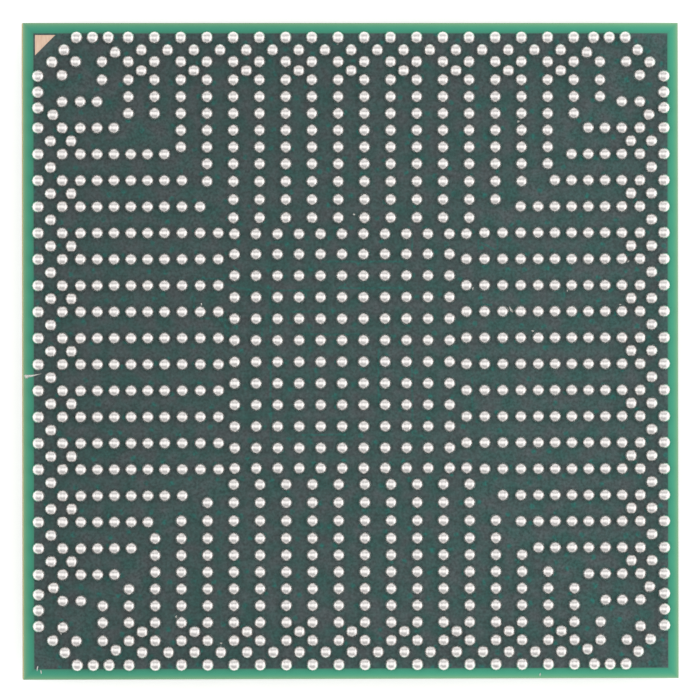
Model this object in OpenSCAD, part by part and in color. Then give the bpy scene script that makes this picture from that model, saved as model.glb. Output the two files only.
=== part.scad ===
// Flip-chip ball grid array package, lying on the back of its die with the solder balls up.
// The origin is at the middle of the die's back face, and Z runs up to the tips of the balls.
// A rank is a row of balls that runs along an edge of the package, counted from that edge.
// A lane is a line of balls that runs in from an edge. The same arm of ranks is set on all
// four edges, each turned a quarter from the last, round a square grid in the middle.

/* [Laminate] */
// Width and length of the package
body_w = 25; // [24.8:0.1:28]
// Thickness of the woven glass and resin core
core_t = 0.84; // [0.4:0.02:1.2]
// Thickness of the resin film built up on each side of the core
film_t = 0.13; // [0.06:0.01:0.3]
// Thickness of the copper on each face
copper_t = 0.02; // [0.012:0.002:0.04]
// Thickness of the solder mask over that copper
mask_t = 0.02; // [0.012:0.002:0.04]
// Bare strip between the copper planes and the cut edge
copper_setback = 0.4; // [0.35:0.01:1]

/* [Solder balls] */
// Diameter of a ball
ball_d = 0.5; // [0.4:0.01:0.55]
// Diameter of the opening in the mask under a ball
opening_d = 0.34; // [0.26:0.01:0.38]
// Gap all round between the solder and the wall of its opening
solder_gap = 0.005; // [0.002:0.001:0.02]
// How far a copper land reaches past the opening, under the mask
land_lap = 0.05; // [0.02:0.005:0.055]
// Gap between a land and the copper plane round it
land_gap = 0.045; // [0.03:0.005:0.05]

/* [Ball map] */
// Distance between the outer ranks of opposite edges
array_span = 23.86; // [23.8:0.02:23.92]
// Distance between neighbouring lanes
lane_pitch = 1; // [0.99:0.005:1.01]
// Step from the outer rank to the second one
rim_step = 0.465; // [0.45:0.005:0.48]
// Step from the second rank to the third
shoulder_step = 0.445; // [0.43:0.005:0.46]
// Step between the three close ranks behind those
tight_step = 0.345; // [0.34:0.005:0.36]
// Step between the long straight ranks
run_step = 0.64; // [0.62:0.005:0.645]
// Step where the long ranks pass over to the innermost ones
bend_step = 0.67; // [0.64:0.005:0.68]
// Step between the innermost ranks
inner_step = 0.69; // [0.66:0.005:0.695]
// Spacing of the three balls at each end of an outer rank
corner_pitch = 0.605; // [0.6:0.005:0.63]
// Sum of the two distances from the middle to each ball on a corner's slanting line
corner_sum = 22.4; // [22.38:0.01:22.44]
// Distance from the middle to the corner balls of the east and west arms
side_corner_depth = 11.4; // [11.38:0.01:11.42]
// How far the last balls of the second rank are drawn inwards
toe_in = 0.09; // [0.08:0.005:0.1]
// Pitch of the grid in the middle
field_pitch = 0.82; // [0.8:0.005:0.83]
// Distance from the middle to the grid's outer rows and its west column
field_reach = 4.457; // [4.44:0.001:4.48]

/* [Pin one mark] */
// Length of the two short sides of the bare copper triangle
mark_leg = 0.78; // [0.5:0.02:0.9]
// Distance from the triangle to the edges of the copper
mark_inset = 0.06; // [0.04:0.01:0.1]

/* [Vias] */
// Diameter of a plated via through the laminate
via_d = 0.15; // [0.1:0.01:0.2]
// Lanes with vias on each side of the middle of an arm
via_lanes = 4; // [2:1:4]

/* [Die] */
// Length of the die along X
die_l = 9.2; // [6:0.1:12]
// Width of the die along Y
die_w = 8.6; // [6:0.1:12]
// Thickness of the die
die_t = 0.78; // [0.4:0.02:0.9]
// Height of the solder bumps between the die and the mask
standoff = 0.07; // [0.05:0.005:0.1]
// Least distance from the die's edge to the middle of its outer bumps
bump_margin = 0.3; // [0.2:0.05:0.6]
// Pitch of the solder bumps
bump_pitch = 0.5; // [0.4:0.02:0.8]
// Diameter of a solder bump
bump_d = 0.12; // [0.08:0.005:0.14]
// How far a bump's copper land reaches past the bump, under the mask
bump_lap = 0.03; // [0.02:0.005:0.05]

/* [Underfill] */
// Width and height of the hollow fillet round the die
fillet_r = 0.5; // [0.3:0.05:0.6]
// Thickness of the fillet where it ends on the die and on the mask
fillet_edge = 0.03; // [0.02:0.005:0.06]

/* [Hidden] */
$fn = 48;

// Heights of the layers, from the die's back face up
die_face_z = die_t;
under_mask_z = die_face_z + standoff;
under_copper_z = under_mask_z + mask_t;
under_film_z = under_copper_z + copper_t;
core_z = under_film_z + film_t;
top_film_z = core_z + core_t;
top_copper_z = top_film_z + film_t;
top_mask_z = top_copper_z + copper_t;

plane_w = body_w - 2 * copper_setback;
land_d = opening_d + 2 * land_lap;
moat_d = land_d + 2 * land_gap;

// How far a drill stands out of each face of what it cuts
drill_reach = 0.1;

// Radius of a ball at the mask's face, and the height of its middle over its land
seat_r = opening_d / 2 - solder_gap;
ball_centre_h = mask_t + sqrt(pow(ball_d / 2, 2) - pow(seat_r, 2));

// The four arms, clockwise seen from above
NORTH = 0;
EAST = 1;
SOUTH = 2;
WEST = 3;

// Steps between neighbouring ranks, from the edge inwards
RANK_STEPS = concat(
    [rim_step, shoulder_step, tight_step, tight_step],
    [for (i = [1:5]) run_step],
    [bend_step],
    [for (i = [1:3]) inner_step]
);
// First lane, last lane and stride of each rank, counted in lanes from the middle of the arm
RANK_LANES = [
    [-8.5, 8.5, 1],
    [-8, 8, 1],
    [-10.5, 10.5, 1],
    [-8, 8, 2],
    [-9.5, 9.5, 1],
    [-8.5, 9.5, 1],
    [-8.5, 8.5, 1],
    [-7.5, 7.5, 1],
    [-6.5, 7.5, 1],
    [-5.5, 7.5, 1],
    [-5.5, 6.5, 1],
    [-4.5, 5.5, 1],
    [-4.5, 4.5, 1],
];
OUTER_RANK = 0;
SECOND_RANK = 1;
LAST_RIM_RANK = 4;
SHORT_RANK = 7;
LAST_RANK = len(RANK_LANES) - 1;

function steps_before(rank) = rank == 0 ? 0 : RANK_STEPS[rank - 1] + steps_before(rank - 1);
function depth(rank) = array_span / 2 - steps_before(rank);

// The lane nearest the pin one corner has no ball in one rank of the north arm
function first_lane(rank, arm) =
    RANK_LANES[rank][0] + (rank == SHORT_RANK && arm == NORTH ? RANK_LANES[rank][2] : 0);

// Points are [distance along the edge, distance from the middle of the package]
function lane_points(rank, arm) = [
    for (lane = [first_lane(rank, arm) : RANK_LANES[rank][2] : RANK_LANES[rank][1]])
        [lane * lane_pitch, depth(rank)]
];
function both_ends(point) = [[-point[0], point[1]], point];

// The outer rank closes up towards the corners
function corner_run() = [
    for (i = [0:2])
        each both_ends([corner_sum - depth(OUTER_RANK) - i * corner_pitch, depth(OUTER_RANK)])
];
// The second rank ends in a ball drawn inwards and one on the corner's slanting line
function corner_depth(arm) = arm == EAST || arm == WEST ? side_corner_depth : depth(SECOND_RANK);
function second_rank_ends(arm) = concat(
    both_ends([9 * lane_pitch, depth(SECOND_RANK) - toe_in]),
    both_ends([corner_sum - corner_depth(arm), corner_depth(arm)])
);
function rank_points(rank, arm) = concat(
    lane_points(rank, arm),
    rank == OUTER_RANK ? corner_run() : [],
    rank == SECOND_RANK ? second_rank_ends(arm) : []
);

function turned(point, arm) =
    let (a = 90 * arm)
    [point[0] * cos(a) + point[1] * sin(a), point[1] * cos(a) - point[0] * sin(a)];
function arm_points(arm, first, last) = [
    for (rank = [first:last]) each [for (p = rank_points(rank, arm)) turned(p, arm)]
];
function rim_points(arm) = arm_points(arm, OUTER_RANK, LAST_RIM_RANK);
function run_points(arm) = arm_points(arm, LAST_RIM_RANK + 1, LAST_RANK);
function outer_points() = [for (arm = [NORTH:WEST]) each arm_points(arm, OUTER_RANK, OUTER_RANK)];

// The grid in the middle, 11 columns by 10 even rows with one more row at each end
field_x = [for (i = [0:10]) -field_reach + i * field_pitch];
field_y = concat([-field_reach], [for (i = [-4.5:4.5]) i * field_pitch], [field_reach]);
function field_points() = [for (x = field_x) for (y = field_y) [x, y]];

// The east side has one rank more, level with the grid's outer rows at its ends
link_x = depth(LAST_RANK) - inner_step;
link_y = concat([-field_reach], [for (i = [-3.5:3.5]) i * lane_pitch], [field_reach]);
function link_points() = [for (y = link_y) [link_x, y]];

BALLS = concat(
    field_points(),
    link_points(),
    [for (arm = [NORTH:WEST]) each rim_points(arm)],
    [for (arm = [NORTH:WEST]) each run_points(arm)]
);

// Vias stand between the lanes of the outer straight ranks
FIRST_VIA_RANK = LAST_RIM_RANK + 1;
LAST_VIA_RANK = FIRST_VIA_RANK + 3;
VIAS = [
    for (arm = [NORTH:WEST], rank = [FIRST_VIA_RANK:LAST_VIA_RANK], lane = [-via_lanes:via_lanes])
        turned([lane * lane_pitch, depth(rank)], arm)
];

// Bumps fill the die's face at their pitch, as many as fit inside the margin
bump_cols = floor((die_l - 2 * bump_margin) / bump_pitch);
bump_rows = floor((die_w - 2 * bump_margin) / bump_pitch);
BUMPS = [
    for (i = [0:bump_cols], j = [0:bump_rows])
        [(i - bump_cols / 2) * bump_pitch, (j - bump_rows / 2) * bump_pitch]
];
bump_land_d = bump_d + 2 * bump_lap;
bump_hole_d = bump_d + 2 * solder_gap;

RESIN = "#9fae6a";
COPPER = "#b87333";
MASK = "#4a6a5e";
SOLDER = "#d9dade";

module at(points) {
    for (p = points)
        translate(p) children();
}

// A flat layer, from its lower face up
module layer(z, t) {
    translate([0, 0, z]) linear_extrude(t) children();
}

module board_outline() {
    square(body_w, center = true);
}

module plane_outline() {
    square(plane_w, center = true);
}

// One sheet of the laminate, drilled for the vias
module drilled_sheet(z, t) {
    layer(z, t) difference() {
        board_outline();
        at(VIAS) circle(d = via_d);
    }
}

module laminate_core() {
    color("#a9a36b") drilled_sheet(core_z, core_t);
}

module build_up_ball_side() {
    color(RESIN) drilled_sheet(top_film_z, film_t);
}

module build_up_die_side() {
    color(RESIN) drilled_sheet(under_film_z, film_t);
}

// Copper posts that tie the two planes together
module ground_vias() {
    color(COPPER) layer(under_film_z, top_copper_z - under_film_z) at(VIAS) circle(d = via_d);
}

// Round drills through a layer
module drills(z, t, points, diameter) {
    translate([0, 0, z - drill_reach]) at(points) cylinder(d = diameter, h = t + 2 * drill_reach);
}

// A copper plane with a round moat for each land
module moated_plane(z, points, moat_diameter) {
    color(COPPER) difference() {
        layer(z, copper_t) plane_outline();
        drills(z, copper_t, points, moat_diameter);
    }
}

module lands(z, points, diameter) {
    color(COPPER) layer(z, copper_t) at(points) circle(d = diameter);
}

module copper_ball_side() {
    moated_plane(top_copper_z, BALLS, moat_d);
}

module ball_lands() {
    lands(top_copper_z, BALLS, land_d);
}

module copper_die_side() {
    moated_plane(under_copper_z, BUMPS, bump_land_d + 2 * land_gap);
}

module bump_lands() {
    lands(under_copper_z, BUMPS, bump_land_d);
}

// The triangle of bare copper by the pin one corner, seen from above
module pin_one_triangle() {
    corner = plane_w / 2 - mark_inset;
    polygon([[-corner, corner], [-corner + mark_leg, corner], [-corner, corner - mark_leg]]);
}

// Solder mask over the copper, open at its lands and at the pin one mark
module mask_skin(z, points, diameter) {
    difference() {
        layer(z, mask_t) difference() {
            board_outline();
            pin_one_triangle();
        }
        drills(z, mask_t, points, diameter);
    }
}

// Solder mask on the bare laminate round the plane, as thick as the copper, and clear of
// the moats that run out over the plane's edge
module mask_rim(z) {
    layer(z, copper_t) difference() {
        board_outline();
        plane_outline();
        children();
    }
}

module mask_ball_side() {
    color(MASK) {
        mask_skin(top_mask_z, BALLS, opening_d);
        mask_rim(top_copper_z) at(outer_points()) circle(d = moat_d);
    }
}

module mask_die_side() {
    color(MASK) {
        mask_skin(under_mask_z, BUMPS, bump_hole_d);
        mask_rim(under_copper_z);
    }
}

module die() {
    color("#5c6066") layer(0, die_t) square([die_l, die_w], center = true);
}

// Solder posts from the die's face through the mask to the lands
module solder_bumps() {
    color(SOLDER) layer(die_face_z, standoff + mask_t) at(BUMPS) circle(d = bump_d);
}

// Section of the fillet, from the corner between the die's wall and the mask
module fillet_section() {
    centre = fillet_r + fillet_edge;
    difference() {
        square(fillet_r);
        translate([centre, centre]) circle(r = fillet_r);
    }
}

// The fillet along one side of the die and round the corner after it
module fillet_side(length, reach) {
    translate([-length / 2, reach, 0]) rotate([90, 0, 90]) linear_extrude(length) fillet_section();
    translate([length / 2, reach, 0]) rotate_extrude(angle = 90) fillet_section();
}

// Resin drawn in under the die round the bumps, with a fillet up the die's walls
module underfill() {
    color("#3d4a3c") {
        layer(die_face_z, standoff) difference() {
            square([die_l, die_w], center = true);
            at(BUMPS) circle(d = bump_hole_d);
        }
        translate([0, 0, under_mask_z]) mirror([0, 0, 1]) for (half = [0, 180]) {
            rotate(half) fillet_side(die_l, die_w / 2);
            rotate(half - 90) fillet_side(die_w, die_l / 2);
        }
    }
}

// A ball stands on its land and passes the mask's face just clear of the opening
module ball() {
    rotate_extrude() intersection() {
        translate([0, ball_centre_h]) circle(d = ball_d);
        square([ball_d, 2 * ball_d]);
    }
}

module balls(points) {
    color(SOLDER) translate([0, 0, top_mask_z]) at(points) ball();
}

laminate_core();
build_up_ball_side();
build_up_die_side();
ground_vias();
copper_ball_side();
ball_lands();
mask_ball_side();
copper_die_side();
bump_lands();
mask_die_side();
die();
solder_bumps();
underfill();
balls(field_points());  // balls_centre_grid
balls(link_points());  // balls_link_rank
balls(rim_points(NORTH));  // balls_north_rim
balls(rim_points(EAST));  // balls_east_rim
balls(rim_points(SOUTH));  // balls_south_rim
balls(rim_points(WEST));  // balls_west_rim
balls(run_points(NORTH));  // balls_north_arm
balls(run_points(EAST));  // balls_east_arm
balls(run_points(SOUTH));  // balls_south_arm
balls(run_points(WEST));  // balls_west_arm
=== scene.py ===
import bpy
import numpy as np
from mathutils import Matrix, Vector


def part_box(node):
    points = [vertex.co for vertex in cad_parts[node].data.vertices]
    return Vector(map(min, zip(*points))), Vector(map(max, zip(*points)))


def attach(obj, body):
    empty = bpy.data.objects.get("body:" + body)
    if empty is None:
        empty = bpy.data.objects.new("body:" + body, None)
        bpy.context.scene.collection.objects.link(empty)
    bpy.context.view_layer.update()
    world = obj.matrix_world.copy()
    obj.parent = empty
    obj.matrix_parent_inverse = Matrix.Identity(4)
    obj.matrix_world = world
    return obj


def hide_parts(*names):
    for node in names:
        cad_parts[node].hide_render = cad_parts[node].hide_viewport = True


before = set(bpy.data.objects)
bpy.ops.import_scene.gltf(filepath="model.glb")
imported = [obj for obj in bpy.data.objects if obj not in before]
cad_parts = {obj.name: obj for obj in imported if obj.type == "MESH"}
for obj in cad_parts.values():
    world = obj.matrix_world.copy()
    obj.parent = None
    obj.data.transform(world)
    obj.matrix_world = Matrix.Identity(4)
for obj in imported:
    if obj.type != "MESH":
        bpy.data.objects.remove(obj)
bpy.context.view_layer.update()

MM = 0.001

# ---------------------------------------------------------------- laminate core
# The core is a panel of woven glass cloth pressed with epoxy, sawn square after assembly.
# Its sawn walls show the plies as fine light and dark lines along the edge.


def linear(hex_code):
    """The scene-linear RGBA of an sRGB hex colour: each channel undone from the sRGB curve."""
    channel = np.array([int(hex_code[i : i + 2], 16) for i in (1, 3, 5)]) / 255
    value = np.where(channel <= 0.04045, channel / 12.92, ((channel + 0.055) / 1.055) ** 2.4)
    return (*value.tolist(), 1.0)


def add(tree, kind, inputs=None, **settings):
    """Adds a node with its settings. An input that is a socket is linked, any other is set."""
    node = tree.nodes.new(kind)
    for name, value in settings.items():
        setattr(node, name, value)
    for name, value in (inputs or {}).items():
        if isinstance(value, bpy.types.NodeSocket):
            tree.links.new(value, node.inputs[name])
        else:
            node.inputs[name].default_value = value
    return node


def new_finish(name, **inputs):
    """A material with one Principled shader, its plain inputs set: the material, tree and shader."""
    finish = bpy.data.materials.new(name)
    finish.use_nodes = True
    tree = finish.node_tree
    shader = tree.nodes["Principled BSDF"]
    for key, value in inputs.items():
        shader.inputs[key.replace("_", " ")].default_value = value
    return finish, tree, shader


def give(finish, *nodes):
    """Puts a finish in every material slot of the named CAD nodes."""
    for name in nodes:
        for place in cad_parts[name].material_slots:
            place.material = finish


# Sawn glass-epoxy laminate: dull tan, with the plies drawn out along the cut
PLY = 0.05 * MM
laminate, tree, shader = new_finish("sawn_glass_epoxy_laminate", Roughness=0.75)
place = add(tree, "ShaderNodeTexCoord").outputs["Object"]
drawn_out = add(tree, "ShaderNodeMapping", {"Vector": place, "Scale": (0.12, 0.12, 1.0)})
plies = add(
    tree,
    "ShaderNodeTexNoise",
    {"Vector": drawn_out.outputs["Vector"], "Scale": 1 / PLY, "Detail": 3.0},
)
ply_tint = add(tree, "ShaderNodeValToRGB", {"Fac": plies.outputs["Fac"]})
ply_tint.color_ramp.elements[0].position = 0.35
ply_tint.color_ramp.elements[0].color = linear("#b3a063")
ply_tint.color_ramp.elements[1].position = 0.65
ply_tint.color_ramp.elements[1].color = linear("#dacb93")
tree.links.new(ply_tint.outputs["Color"], shader.inputs["Base Color"])
sawn = add(
    tree,
    "ShaderNodeBump",
    {"Height": plies.outputs["Fac"], "Strength": 0.5, "Distance": 0.01 * MM},
)
tree.links.new(sawn.outputs["Normal"], shader.inputs["Normal"])
give(laminate, "laminate_core")

# ---------------------------------------------------------------- build-up films
# A film of filled epoxy is pressed on each face of the core to carry the outer copper.
# Its cut edge is even, yellowish green and a little translucent, with a fine grain.

# Filled epoxy film: even yellowish green, matt where it was cut
GRAIN = 0.03 * MM
film, tree, shader = new_finish("pressed_build_up_resin", Roughness=0.6)
place = add(tree, "ShaderNodeTexCoord").outputs["Object"]
grain = add(tree, "ShaderNodeTexNoise", {"Vector": place, "Scale": 1 / GRAIN, "Detail": 2.0})
film_tint = add(
    tree,
    "ShaderNodeMix",
    {"Factor": grain.outputs["Fac"], "A": linear("#8f9a52"), "B": linear("#b5bb77")},
    data_type="RGBA",
)
tree.links.new(film_tint.outputs["Result"], shader.inputs["Base Color"])
give(film, "build_up_ball_side", "build_up_die_side")

# ---------------------------------------------------------------- copper
# The outer copper is plated, etched into a plane and round lands, and left bare only in the
# pin one mark and in the mask's openings, where a clear preservative keeps it salmon pink.

# Plated copper under a clear preservative: pale salmon with a soft gleam and fine lines along Y.
# The real lines are finer, and drawn this coarse to show.
PLATED_GRAIN = 0.07 * MM
copper, tree, shader = new_finish("preserved_plated_copper", Metallic=1.0)
place = add(tree, "ShaderNodeTexCoord").outputs["Object"]
drawn_out = add(tree, "ShaderNodeMapping", {"Vector": place, "Scale": (1.0, 0.15, 1.0)})
grain = add(
    tree,
    "ShaderNodeTexNoise",
    {"Vector": drawn_out.outputs["Vector"], "Scale": 1 / PLATED_GRAIN, "Detail": 4.0},
)
copper_tint = add(
    tree,
    "ShaderNodeMix",
    {"Factor": grain.outputs["Fac"], "A": linear("#c8a084"), "B": linear("#f2dac6")},
    data_type="RGBA",
)
tree.links.new(copper_tint.outputs["Result"], shader.inputs["Base Color"])
dull = add(
    tree,
    "ShaderNodeMapRange",
    {"Value": grain.outputs["Fac"], "To Min": 0.35, "To Max": 0.55},
)
tree.links.new(dull.outputs["Result"], shader.inputs["Roughness"])
plated = add(
    tree,
    "ShaderNodeBump",
    {"Height": grain.outputs["Fac"], "Strength": 0.4, "Distance": 0.004 * MM},
)
tree.links.new(plated.outputs["Normal"], shader.inputs["Normal"])
give(copper, "copper_ball_side", "ball_lands", "copper_die_side", "bump_lands", "ground_vias")

# ---------------------------------------------------------------- solder mask
# Green epoxy mask is coated over both faces and exposed through a film. Over copper it looks
# slate, with teal spots where vias end and where the copper has gaps. On the bare laminate
# of the rim it looks plain green, and paler towards the cut edge.
# Painted light over the whole coat makes it paler towards +X and palest at the +X -Y corner.

PLANE_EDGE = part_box("copper_ball_side")[1][0]
CUT_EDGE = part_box("mask_ball_side")[1][0]
# How far to each side of the plane's edge the slate passes over to green
EDGE_SOFTNESS = 0.015 * MM
PATCH = 0.7 * MM
VIA_SPACING = 0.9 * MM
# Radius of a via's spot, as a share of the vias' spacing
VIA_SPOT = 0.16
MASK_GRAIN = 0.1 * MM
# How far from the middle the painted light goes on getting paler
PAINTED_LIGHT_REACH = 8 * MM

# Satin epoxy coat with a fine grain, which is drawn coarser than it is to show
mask, tree, shader = new_finish("green_solder_mask", Roughness=0.42, Specular_IOR_Level=0.35)
place = add(tree, "ShaderNodeTexCoord").outputs["Object"]
axes = add(tree, "ShaderNodeSeparateXYZ", {"Vector": place})
along_x = add(tree, "ShaderNodeMath", {0: axes.outputs["X"]}, operation="ABSOLUTE")
along_y = add(tree, "ShaderNodeMath", {0: axes.outputs["Y"]}, operation="ABSOLUTE")
reach = add(
    tree,
    "ShaderNodeMath",
    {0: along_x.outputs["Value"], 1: along_y.outputs["Value"]},
    operation="MAXIMUM",
)

# Slate over copper, browner or greener in patches a millimetre or two wide
patches = add(tree, "ShaderNodeTexNoise", {"Vector": place, "Scale": 1 / PATCH, "Detail": 2.0})
over_copper = add(tree, "ShaderNodeValToRGB", {"Fac": patches.outputs["Fac"]})
over_copper.color_ramp.elements[0].position = 0.32
over_copper.color_ramp.elements[0].color = linear("#28514c")
over_copper.color_ramp.elements[1].position = 0.66
over_copper.color_ramp.elements[1].color = linear("#455152")

# Soft teal spots of the finer vias, one about every VIA_SPACING and unevenly placed
vias = add(
    tree,
    "ShaderNodeTexVoronoi",
    {"Vector": place, "Scale": 1 / VIA_SPACING, "Randomness": 0.8},
    voronoi_dimensions="2D",
)
spot = add(
    tree,
    "ShaderNodeMapRange",
    {
        "Value": vias.outputs["Distance"],
        "From Min": 0.3 * VIA_SPOT,
        "From Max": VIA_SPOT,
        "To Min": 0.95,
        "To Max": 0.0,
    },
    interpolation_type="SMOOTHSTEP",
)
gap = add(tree, "ShaderNodeAttribute", attribute_name="gap")
teal_share = add(
    tree,
    "ShaderNodeMath",
    {0: spot.outputs["Result"], 1: gap.outputs["Fac"]},
    operation="MAXIMUM",
)
grain = add(tree, "ShaderNodeTexNoise", {"Vector": place, "Scale": 1 / MASK_GRAIN, "Detail": 3.0})
worn_share = add(
    tree,
    "ShaderNodeMapRange",
    {
        "Value": grain.outputs["Fac"],
        "From Min": 0.35,
        "From Max": 0.6,
        "To Min": 0.45,
        "To Max": 1.0,
    },
)
teal_amount = add(
    tree,
    "ShaderNodeMath",
    {0: teal_share.outputs["Value"], 1: worn_share.outputs["Result"]},
    operation="MULTIPLY",
)
with_teal = add(
    tree,
    "ShaderNodeMix",
    {
        "Factor": teal_amount.outputs["Value"],
        "A": over_copper.outputs["Color"],
        "B": linear("#10625a"),
    },
    data_type="RGBA",
)
mottle = add(
    tree,
    "ShaderNodeMapRange",
    {"Value": grain.outputs["Fac"], "From Min": 0.3, "From Max": 0.7, "To Min": 0.6, "To Max": 1.4},
)
mottled = add(
    tree,
    "ShaderNodeVectorMath",
    {0: with_teal.outputs["Result"], "Scale": mottle.outputs["Result"]},
    operation="SCALE",
)

# From the plane's edge out to the cut
rim_share = add(
    tree,
    "ShaderNodeMapRange",
    {"Value": reach.outputs["Value"], "From Min": PLANE_EDGE, "From Max": CUT_EDGE},
)
rim_tint = add(tree, "ShaderNodeValToRGB", {"Fac": rim_share.outputs["Result"]})
rim_colours = (
    (0.0, "#3c8a70"),
    (0.25, "#36997b"),
    (0.5, "#41a080"),
    (0.75, "#5da781"),
    (0.92, "#7aaf86"),
    (1.0, "#98b794"),
)
while len(rim_tint.color_ramp.elements) < len(rim_colours):
    rim_tint.color_ramp.elements.new(0.5)
for stop, (position, colour) in zip(rim_tint.color_ramp.elements, rim_colours):
    stop.position = position
    stop.color = linear(colour)
on_rim = add(
    tree,
    "ShaderNodeMapRange",
    {
        "Value": reach.outputs["Value"],
        "From Min": PLANE_EDGE - EDGE_SOFTNESS,
        "From Max": PLANE_EDGE + EDGE_SOFTNESS,
    },
)
mask_tint = add(
    tree,
    "ShaderNodeMix",
    {
        "Factor": on_rim.outputs["Result"],
        "A": mottled.outputs["Vector"],
        "B": rim_tint.outputs["Color"],
    },
    data_type="RGBA",
)

# Painted light: the coat is drawn a little paler towards +X, and palest at the +X -Y corner, as if
# lit more strongly there
across = add(
    tree, "ShaderNodeVectorMath", {0: place, 1: (1.0, -0.35, 0.0)}, operation="DOT_PRODUCT"
)
painted_light = add(
    tree,
    "ShaderNodeMapRange",
    {
        "Value": across.outputs["Value"],
        "From Min": -PAINTED_LIGHT_REACH,
        "From Max": PAINTED_LIGHT_REACH,
        "To Min": 1.0,
        "To Max": 1.25,
    },
)
coat_tint_and_painted_light = add(
    tree,
    "ShaderNodeVectorMath",
    {0: mask_tint.outputs["Result"], "Scale": painted_light.outputs["Result"]},
    operation="SCALE",
)
tree.links.new(coat_tint_and_painted_light.outputs["Vector"], shader.inputs["Base Color"])
coated = add(
    tree,
    "ShaderNodeBump",
    {"Height": grain.outputs["Fac"], "Strength": 0.25, "Distance": 0.004 * MM},
)
tree.links.new(coated.outputs["Normal"], shader.inputs["Normal"])
give(mask, "mask_ball_side", "mask_die_side")

# ---------------------------------------------------------------- gaps in the copper plane
# The plane under the mask is etched apart between supplies, and a few traces run in the
# gaps. The mask shows each as a thin, broken teal line. A real one sinks a little, and is
# a low ridge here because it lies on the mask's face.

GAP_WIDTH = 0.13 * MM
GAP_RISE = 0.003 * MM
GAP_TEAL = 0.9
# Ends of the straight runs, in millimetres from the middle of the package
GAP_RUNS = (
    ((-3.08, 2.3), (-3.08, 1.6)),
    ((-3.08, 1.3), (-3.08, 0.6)),
    ((-3.08, -0.3), (-3.08, -3.4)),
    ((-3.0, 4.15), (-2.1, 4.15)),
    ((-3.0, 2.3), (-1.55, 2.3)),
    ((-2.35, 1.5), (-1.2, 1.5)),
    ((-2.4, 1.5), (-2.4, 1.2)),
    ((-1.8, 0.63), (0.4, 0.63)),
    ((-1.1, 3.4), (2.0, 3.4)),
    ((-1.9, -3.2), (-0.2, -3.2)),
    ((2.33, 0.2), (2.33, -2.7)),
    ((2.33, 4.6), (2.33, 3.8)),
    ((1.04, 0.1), (1.04, -2.0)),
    ((4.62, -1.0), (4.62, -2.3)),
    ((-4.8, 1.5), (-4.8, 0.6)),
    ((-6.0, 2.75), (-4.8, 2.75)),
    ((-6.0, 2.2), (-6.0, 1.6)),
    ((-5.8, 1.25), (-5.3, 1.25)),
    ((4.86, 4.25), (4.86, 3.75)),
    ((4.95, 4.15), (5.55, 3.8)),
    ((5.6, 4.3), (5.6, 3.8)),
    ((4.96, 2.2), (4.96, 1.75)),
    ((4.96, 1.75), (5.4, 1.75)),
    ((-0.5, 2.4), (2.0, 2.4)),
    ((-4.8, 2.55), (-3.7, 2.28)),
    ((-4.5, 3.25), (-4.2, 2.95)),
    ((-0.6, 2.35), (-0.2, 2.55)),
    ((-4.7, 0.95), (-4.7, 0.55)),
    ((-3.4, 0.95), (-3.4, 0.55)),
)


def ridge_strips(ends, width, height, base):
    """Long low ridges: each section is a flat foot of the given width at the base height and a
    crown line over its middle. Returns the vertices and faces, and 1 on the crowns, else 0."""
    start, end = ends[:, 0], ends[:, 1]
    run = (end - start) / np.linalg.norm(end - start, axis=1, keepdims=True)
    side = np.stack([-run[:, 1], run[:, 0]], axis=1) * width / 2
    section_side = np.array([1.0, 0.0, -1.0])
    section_rise = np.array([0.0, height, 0.0])
    flat = np.stack([start, end], axis=1)[:, :, None, :] + (
        section_side[None, None, :, None] * side[:, None, None, :]
    )
    rise = np.broadcast_to(base + section_rise, flat.shape[:3])
    corners = np.concatenate([flat, rise[..., None]], axis=-1).reshape(-1, 3)
    first = 6 * np.arange(len(ends))[:, None]
    slopes = np.concatenate([first + [0, 1, 4, 3], first + [1, 2, 5, 4], first + [2, 0, 3, 5]])
    caps = np.concatenate([first + [0, 2, 1], first + [3, 4, 5]])
    crown = np.tile(section_side == 0.0, 2 * len(ends)).astype(float)
    return corners, slopes.tolist() + caps.tolist(), crown


def new_piece(name, vertices, faces, finish):
    """A mesh from vertices and faces, with one finish, that rides on the package's body."""
    mesh = bpy.data.meshes.new(name)
    mesh.from_pydata(vertices.tolist(), [], faces)
    mesh.materials.append(finish)
    piece = bpy.data.objects.new(name, mesh)
    bpy.context.scene.collection.objects.link(piece)
    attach(piece, "root")
    return piece


mask_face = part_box("mask_ball_side")[1][2]
gap_vertices, gap_faces, gap_crown = ridge_strips(
    np.array(GAP_RUNS) * MM, GAP_WIDTH, GAP_RISE, mask_face
)
gap_lines = new_piece("mask_over_gaps", gap_vertices, gap_faces, mask)
gap_share = gap_lines.data.attributes.new("gap", "FLOAT", "POINT")
gap_share.data.foreach_set("value", gap_crown * GAP_TEAL)

# ---------------------------------------------------------------- die and underfill
# The die is silicon, thinned by grinding, which leaves its back grey with fine lines. Its
# solder bumps are set in underfill, a dark filled epoxy that wets up its walls.

# Ground silicon: grey and half mirror-like, with faint lines along X
GRIND = 0.05 * MM
silicon, tree, shader = new_finish("ground_silicon", Metallic=0.85)
place = add(tree, "ShaderNodeTexCoord").outputs["Object"]
drawn_out = add(tree, "ShaderNodeMapping", {"Vector": place, "Scale": (0.05, 1.0, 1.0)})
grinding = add(
    tree,
    "ShaderNodeTexNoise",
    {"Vector": drawn_out.outputs["Vector"], "Scale": 1 / GRIND, "Detail": 3.0},
)
silicon_tint = add(
    tree,
    "ShaderNodeMix",
    {"Factor": grinding.outputs["Fac"], "A": linear("#5f636b"), "B": linear("#858991")},
    data_type="RGBA",
)
tree.links.new(silicon_tint.outputs["Result"], shader.inputs["Base Color"])
ground = add(
    tree,
    "ShaderNodeMapRange",
    {"Value": grinding.outputs["Fac"], "To Min": 0.2, "To Max": 0.4},
)
tree.links.new(ground.outputs["Result"], shader.inputs["Roughness"])
give(silicon, "die")

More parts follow.
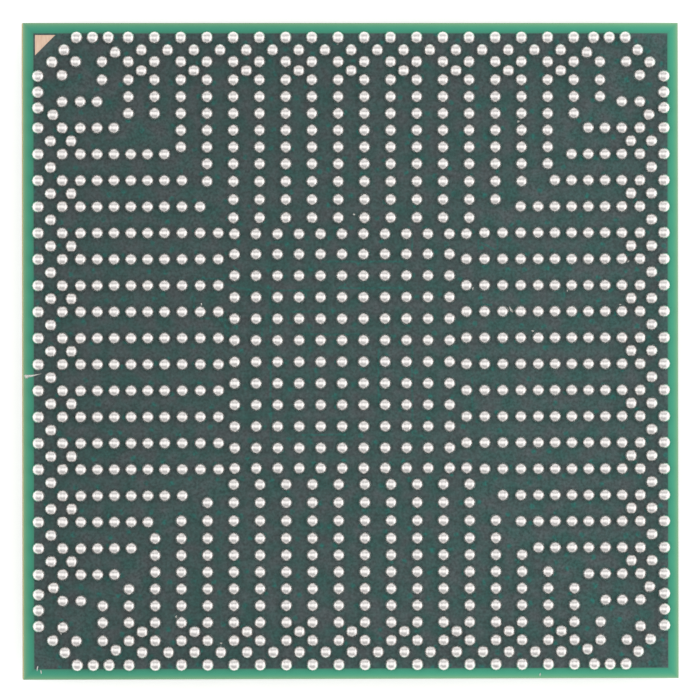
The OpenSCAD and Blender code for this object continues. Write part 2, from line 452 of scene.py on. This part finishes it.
# Filled epoxy: almost black, satin, with pale specks of filler
FILLER = 0.02 * MM
resin, tree, shader = new_finish("filled_underfill_epoxy", Roughness=0.35)
place = add(tree, "ShaderNodeTexCoord").outputs["Object"]
filler = add(tree, "ShaderNodeTexNoise", {"Vector": place, "Scale": 1 / FILLER, "Detail": 2.0})
resin_tint = add(
    tree,
    "ShaderNodeMix",
    {"Factor": filler.outputs["Fac"], "A": linear("#1c211d"), "B": linear("#3a3d33")},
    data_type="RGBA",
)
tree.links.new(resin_tint.outputs["Result"], shader.inputs["Base Color"])
give(resin, "underfill")

# ---------------------------------------------------------------- solder balls
# Balls of tin alloy are dropped on their lands with flux and reflowed, which seats them in
# the mask's openings and leaves a satin skin with shallow dimples and dendrites.

# Reflowed tin alloy: near white metal, satin, and dimpled so that no two highlights are alike
DIMPLE = 0.11 * MM
DIMPLE_DEPTH = 0.012 * MM
SKIN_GRAIN = 0.025 * MM
solder, tree, shader = new_finish("reflowed_tin_alloy", Metallic=1.0)
place = add(tree, "ShaderNodeTexCoord").outputs["Object"]
dimples = add(tree, "ShaderNodeTexNoise", {"Vector": place, "Scale": 1 / DIMPLE, "Detail": 1.0})
skin = add(tree, "ShaderNodeTexNoise", {"Vector": place, "Scale": 1 / SKIN_GRAIN, "Detail": 2.0})
solder_tint = add(
    tree,
    "ShaderNodeMix",
    {"Factor": skin.outputs["Fac"], "A": linear("#e9e4e1"), "B": linear("#fdfaf7")},
    data_type="RGBA",
)
tree.links.new(solder_tint.outputs["Result"], shader.inputs["Base Color"])
satin = add(
    tree,
    "ShaderNodeMapRange",
    {"Value": skin.outputs["Fac"], "From Min": 0.3, "From Max": 0.7, "To Min": 0.26, "To Max": 0.42},
)
tree.links.new(satin.outputs["Result"], shader.inputs["Roughness"])
dimpled = add(
    tree,
    "ShaderNodeBump",
    {"Height": dimples.outputs["Fac"], "Strength": 0.6, "Distance": DIMPLE_DEPTH},
)
tree.links.new(dimpled.outputs["Normal"], shader.inputs["Normal"])
give(solder, "solder_bumps")

# A ball's tip lies within this of the highest point of its node
TIP_BAND = 0.001 * MM
# The balls' middles fall on a grid this fine
MAP_STEP = 0.01 * MM
BALL_RADIUS = 0.249 * MM
SEAT_RADIUS = 0.15 * MM
SEGMENTS = 12
# Polar angles of a ball's rings, from its tip down to where it narrows to its seat
RINGS = np.radians([30.0, 60.0, 90.0, 118.0])


def ball_middles(name):
    """The middle of each ball in a CAD node: a ball's highest point is its tip, so the node's
    highest points are the tips, one radius over the middles."""
    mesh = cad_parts[name].data
    points = np.empty(3 * len(mesh.vertices))
    mesh.vertices.foreach_get("co", points)
    points = points.reshape(-1, 3)
    tips = points[points[:, 2] > points[:, 2].max() - TIP_BAND]
    tips = np.unique(np.round(tips / MAP_STEP).astype(int), axis=0) * MAP_STEP
    return np.column_stack([tips[:, :2], np.full(len(tips), points[:, 2].max() - BALL_RADIUS)])


def ball_surfaces(middles, foot):
    """One ball round each middle. Ring k lies at radius R sin a and height R cos a over the
    middle, and the last ring is the seat's, at the foot. Returns vertices, faces, normals."""
    turn = 2 * np.pi * np.arange(SEGMENTS) / SEGMENTS
    flat = np.append(np.sin(RINGS), SEAT_RADIUS / BALL_RADIUS)
    rise = np.cos(RINGS)
    ring_x = flat[:, None] * np.cos(turn)
    ring_y = flat[:, None] * np.sin(turn)
    ring_z = np.append(rise, 0.0)[:, None] + 0.0 * turn
    unit = np.stack([ring_x, ring_y, ring_z], axis=-1).reshape(-1, 3)
    unit = np.vstack([[0.0, 0.0, 1.0], unit])
    points = middles[:, None, :] + BALL_RADIUS * unit
    points[:, -SEGMENTS:, 2] = foot
    normals = np.broadcast_to(unit, points.shape)
    here = np.arange(SEGMENTS)
    following = (here + 1) % SEGMENTS
    cap = np.stack([0 * here, 1 + here, 1 + following], axis=1)
    rows = 1 + SEGMENTS * np.arange(len(RINGS))[:, None]
    upper, upper_next = rows + here, rows + following
    bands = np.stack(
        [upper, upper + SEGMENTS, upper_next + SEGMENTS, upper_next], axis=-1
    ).reshape(-1, 4)
    seat = 1 + SEGMENTS * len(RINGS) + here[::-1]
    first = len(unit) * np.arange(len(middles))[:, None]
    faces = []
    for part in (cap, bands, seat[None, :]):
        faces += (first[:, :, None] + part).reshape(-1, part.shape[1]).tolist()
    return points.reshape(-1, 3), faces, normals.reshape(-1, 3)


land_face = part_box("ball_lands")[1][2]
for name in sorted(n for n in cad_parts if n.startswith("balls_")):
    vertices, faces, normals = ball_surfaces(ball_middles(name), land_face)
    group = new_piece("reflowed_" + name, vertices, faces, solder)
    group.data.shade_smooth()
    group.data.normals_split_custom_set_from_vertices(normals)
    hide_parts(name)

# ---------------------------------------------------------------- handling marks
# Handling has left a whitish scratch across the rim, and specks and short tails of dried flux
# and dust lie between the balls.

# Dried flux: a dull off-white crust
CRUST = 0.05 * MM
flux, tree, shader = new_finish("dried_flux", Roughness=0.55)
place = add(tree, "ShaderNodeTexCoord").outputs["Object"]
crust = add(tree, "ShaderNodeTexNoise", {"Vector": place, "Scale": 1 / CRUST, "Detail": 2.0})
flux_tint = add(
    tree,
    "ShaderNodeMix",
    {"Factor": crust.outputs["Fac"], "A": linear("#d9dcd2"), "B": linear("#fffef9")},
    data_type="RGBA",
)
tree.links.new(flux_tint.outputs["Result"], shader.inputs["Base Color"])

# Middle in millimetres, length, width and heading in degrees of each speck
SPECKS = (
    (-0.49, 11.71, 0.11, 0.08, 60),
    (6.4, 8.74, 0.12, 0.08, 20),
    (6.1, 1.57, 0.3, 0.1, -55),
    (4.65, 2.37, 0.14, 0.07, 80),
    (-5.71, 1.78, 0.12, 0.06, 90),
    (6.94, 0.75, 0.1, 0.07, 0),
    (8.27, 2.31, 0.13, 0.07, 70),
    (10.59, 3.41, 0.12, 0.08, 40),
    (10.29, 1.74, 0.12, 0.08, -30),
    (-11.07, -10.72, 0.14, 0.08, 75),
    (-10.92, -11.25, 0.12, 0.08, 30),
    (-6.69, -10.11, 0.12, 0.07, 80),
    (-4.98, -11.13, 0.11, 0.07, 10),
    (0.12, 5.2, 0.1, 0.08, 0),
    (-12.18, -0.925, 0.5, 0.09, 9),
    (-12.36, -0.955, 0.22, 0.16, 6),
    (-11.97, -0.885, 0.3, 0.05, 12),
    (7.2, -12.35, 0.14, 0.05, 80),
    (-11.98, -12.06, 0.2, 0.05, 80),
    (-11.84, -12.2, 0.16, 0.05, 100),
)
SPECK_RISE = 0.02 * MM
SPECK_POINTS = 12


def lens_specks(specks, rise, base):
    """Low lens-shaped specks: an outline of points on an ellipse whose radius swells and shrinks
    by a fifth three times round, a crown point over its middle and a flat foot."""
    middle, size = specks[:, :2] * MM, specks[:, 2:4] * MM / 2
    heading = np.radians(specks[:, 4:5])
    turn = 2 * np.pi * np.arange(SPECK_POINTS) / SPECK_POINTS
    swell = 1 + 0.2 * np.sin(3 * turn + 7 * heading)
    along = size[:, :1] * swell * np.cos(turn)
    across = size[:, 1:] * swell * np.sin(turn)
    x = middle[:, :1] + along * np.cos(heading) - across * np.sin(heading)
    y = middle[:, 1:] + along * np.sin(heading) + across * np.cos(heading)
    outline = np.stack([x, y, np.full_like(x, base)], axis=-1)
    crown = np.column_stack([middle, np.full(len(specks), base + rise)])
    points = np.concatenate([crown[:, None, :], outline], axis=1)
    here = np.arange(SPECK_POINTS)
    cap = np.stack([0 * here, 1 + here, 1 + (here + 1) % SPECK_POINTS], axis=1)
    foot = 1 + here[::-1]
    first = (1 + SPECK_POINTS) * np.arange(len(specks))[:, None]
    faces = (first[:, :, None] + cap).reshape(-1, 3).tolist() + (first + foot).tolist()
    return points.reshape(-1, 3), faces


speck_vertices, speck_faces = lens_specks(np.array(SPECKS), SPECK_RISE, mask_face)
specks = new_piece("flux_specks", speck_vertices, speck_faces, flux)
specks.data.shade_smooth()

# ---------------------------------------------------------------- floor
# A pale matt board, wide enough to fill every view. It looks white to the camera and in
# reflections, and keeps the shadow under the package.

FLOOR_REACH = 1.5
FLOOR_DROP = 0.002 * MM
FIBRE = 2 * MM
# Share of white that the board adds to what camera, glossy and transmission rays see of it
WHITE_LIFT = 0.5
board, tree, shader = new_finish("matt_white_board", Roughness=0.9, Specular_IOR_Level=0.1)
place = add(tree, "ShaderNodeTexCoord").outputs["Object"]
fibres = add(tree, "ShaderNodeTexNoise", {"Vector": place, "Scale": 1 / FIBRE, "Detail": 2.0})
board_tint = add(
    tree,
    "ShaderNodeMix",
    {"Factor": fibres.outputs["Fac"], "A": linear("#f0f0ee"), "B": linear("#f6f6f5")},
    data_type="RGBA",
)
tree.links.new(board_tint.outputs["Result"], shader.inputs["Base Color"])
shader.inputs["Emission Color"].default_value = linear("#ffffff")
rays = add(tree, "ShaderNodeLightPath")
seen = add(
    tree,
    "ShaderNodeMath",
    {0: rays.outputs["Is Camera Ray"], 1: rays.outputs["Is Glossy Ray"]},
    operation="MAXIMUM",
)
seen_through = add(
    tree,
    "ShaderNodeMath",
    {0: seen.outputs["Value"], 1: rays.outputs["Is Transmission Ray"]},
    operation="MAXIMUM",
)
lift = add(
    tree,
    "ShaderNodeMath",
    {0: seen_through.outputs["Value"], 1: WHITE_LIFT},
    operation="MULTIPLY",
)
tree.links.new(lift.outputs["Value"], shader.inputs["Emission Strength"])
corners = np.array([[-1, -1, 0], [1, -1, 0], [1, 1, 0], [-1, 1, 0]]) * FLOOR_REACH
corners[:, 2] = -FLOOR_DROP
floor_mesh = bpy.data.meshes.new("floor")
floor_mesh.from_pydata(corners.tolist(), [], [(0, 1, 2, 3)])
floor_mesh.materials.append(board)
floor = bpy.data.objects.new("floor", floor_mesh)
bpy.context.scene.collection.objects.link(floor)

# ---------------------------------------------------------------- light
# A softbox overhead, one at each side and a weaker one at the back make one bright band
# across every ball. A plain dome, dimmer between them, fills the rest.

LAMPS = (
    # name, place, turn in degrees about x, y and z, width, depth, brightness
    ("overhead_softbox", (0.0, 0.02, 0.30), (0, 0, 0), 0.60, 0.24, 0.57),
    ("right_softbox", (0.32, -0.05, 0.14), (0, 68, 0), 0.27, 0.46, 0.8),
    ("left_softbox", (-0.32, 0.02, 0.14), (0, -68, 0), 0.27, 0.28, 0.72),
    ("back_softbox", (0.0, 0.32, 0.15), (-65, 0, 0), 0.40, 0.24, 0.35),
)
for name, stand, turned, width, depth, brightness in LAMPS:
    lamp = bpy.data.lights.new(name, "AREA")
    lamp.shape = "RECTANGLE"
    lamp.size, lamp.size_y = width, depth
    lamp.energy = brightness * np.pi * width * depth
    softbox = bpy.data.objects.new(name, lamp)
    softbox.location = stand
    softbox.rotation_euler = np.radians(turned)
    softbox.visible_camera = False
    bpy.context.scene.collection.objects.link(softbox)

dome = bpy.data.worlds.new("studio_dome")
dome.use_nodes = True
tree = dome.node_tree
heading = add(tree, "ShaderNodeTexCoord").outputs["Generated"]
height = add(tree, "ShaderNodeSeparateXYZ", {"Vector": heading})
dome_tint = add(tree, "ShaderNodeValToRGB", {"Fac": height.outputs["Z"]})
dome_levels = ((0.0, 0.8), (0.35, 0.7), (0.55, 0.36), (0.75, 0.52), (1.0, 0.7))
while len(dome_tint.color_ramp.elements) < len(dome_levels):
    dome_tint.color_ramp.elements.new(0.5)
for stop, (position, level) in zip(dome_tint.color_ramp.elements, dome_levels):
    stop.position = position
    stop.color = (level, level, level, 1.0)
tree.links.new(dome_tint.outputs["Color"], tree.nodes["Background"].inputs["Color"])
bpy.context.scene.world = dome

# ---------------------------------------------------------------- camera
# It looks down on the balls from far off, leaning a few degrees to the left, so that a sliver
# of the left wall shows.

CAMERA_HEIGHT = 0.6
LEAN = np.radians(3.5)
TURN = np.radians(-0.08)
FRAME_WIDTH = 26.67 * MM
AIM_X, AIM_Y = -0.045 * MM, 0.035 * MM
lens = bpy.data.cameras.new("camera")
lens.sensor_width = 36.0
lens.lens = lens.sensor_width * CAMERA_HEIGHT / FRAME_WIDTH
lens.clip_start, lens.clip_end = 0.01, 10.0
camera = bpy.data.objects.new("camera", lens)
camera.location = (
    AIM_X - CAMERA_HEIGHT * np.sin(LEAN) * np.cos(TURN),
    AIM_Y - CAMERA_HEIGHT * np.sin(LEAN) * np.sin(TURN),
    mask_face + CAMERA_HEIGHT * np.cos(LEAN),
)
camera.rotation_euler = (0.0, -LEAN, TURN)
bpy.context.scene.collection.objects.link(camera)
bpy.context.scene.camera = camera
bpy.context.scene.view_settings.view_transform = "Standard"
